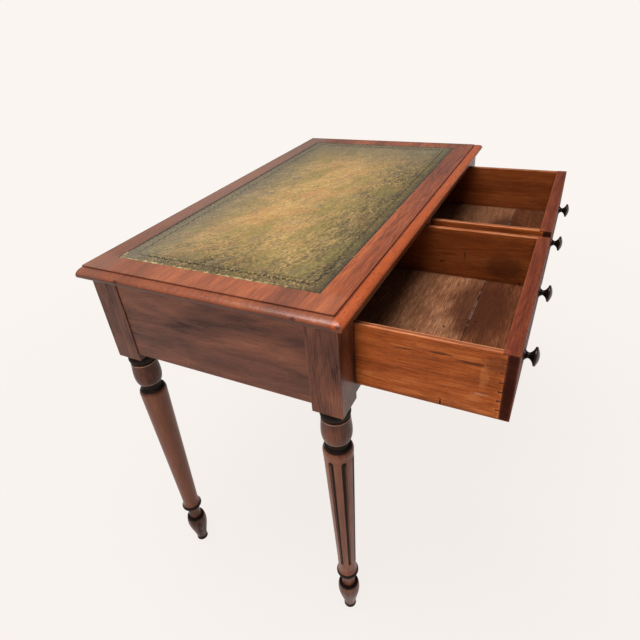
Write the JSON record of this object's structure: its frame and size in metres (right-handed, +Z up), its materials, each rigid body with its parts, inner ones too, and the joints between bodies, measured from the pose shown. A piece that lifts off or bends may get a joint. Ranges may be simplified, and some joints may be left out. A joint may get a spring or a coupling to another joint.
{
  "type": "writing table",
  "caption": "Writing table with a leather-lined moulded top on turned tapering legs, fluted at the front, and sliding wooden drawers below the top.",
  "frame": {"origin": "on the floor under the middle of the table's box, with both drawers pulled out as stored", "axes": "+X along the table's width to the right of a person seated at it, +Y from the seat to the back, +Z up"},
  "size_m": [0.914, 0.728, 0.768],
  "materials": {
    "mahogany": "french polished, worn at the edges",
    "drawer_wood": "old, lightly polished",
    "drawer_bottom": "bare and stained",
    "secondary_wood": "bare, sawn and planed",
    "ebonised_wood": "polished black",
    "leather": "worn, with a tooled border",
    "steel": "dull"
  },
  "bodies": {
    "table": {"front_left_leg": "mahogany", "front_right_leg": "mahogany", "rear_left_leg": "mahogany", "rear_right_leg": "mahogany", "left_end_rail": "mahogany", "right_end_rail": "mahogany", "back_rail": "mahogany", "front_bottom_rail": "mahogany", "front_top_rail": "mahogany", "drawer_divider": "mahogany", "left_runner": "secondary_wood", "centre_runner": "secondary_wood", "right_runner": "secondary_wood", "left_guide": "secondary_wood", "centre_guide": "secondary_wood", "right_guide": "secondary_wood", "drawer_stops": "secondary_wood", "glue_blocks": "secondary_wood", "top_screws": "steel", "top_board": "mahogany", "leather_skiver": "leather"},
    "left_drawer": {"left_drawer_front": "mahogany", "left_drawer_outer_side": "drawer_wood", "left_drawer_inner_side": "drawer_wood", "left_drawer_back": "drawer_wood", "left_drawer_front_bottom_board": "drawer_bottom", "left_drawer_rear_bottom_board": "drawer_bottom", "left_drawer_outer_knob": "ebonised_wood", "left_drawer_inner_knob": "ebonised_wood", "left_drawer_nails": "steel"},
    "right_drawer": {"right_drawer_front": "mahogany", "right_drawer_outer_side": "drawer_wood", "right_drawer_inner_side": "drawer_wood", "right_drawer_back": "drawer_wood", "right_drawer_front_bottom_board": "drawer_bottom", "right_drawer_rear_bottom_board": "drawer_bottom", "right_drawer_outer_knob": "ebonised_wood", "right_drawer_inner_knob": "ebonised_wood", "right_drawer_nails": "steel"}
  },
  "joints": [
    {"name": "left_drawer_slide", "type": "slide", "parent": "table", "child": "left_drawer", "axis": [0, -1, 0], "range_m": [-0.226, 0.1]},
    {"name": "right_drawer_slide", "type": "slide", "parent": "table", "child": "right_drawer", "axis": [0, -1, 0], "range_m": [-0.226, 0.1]}
  ]
}
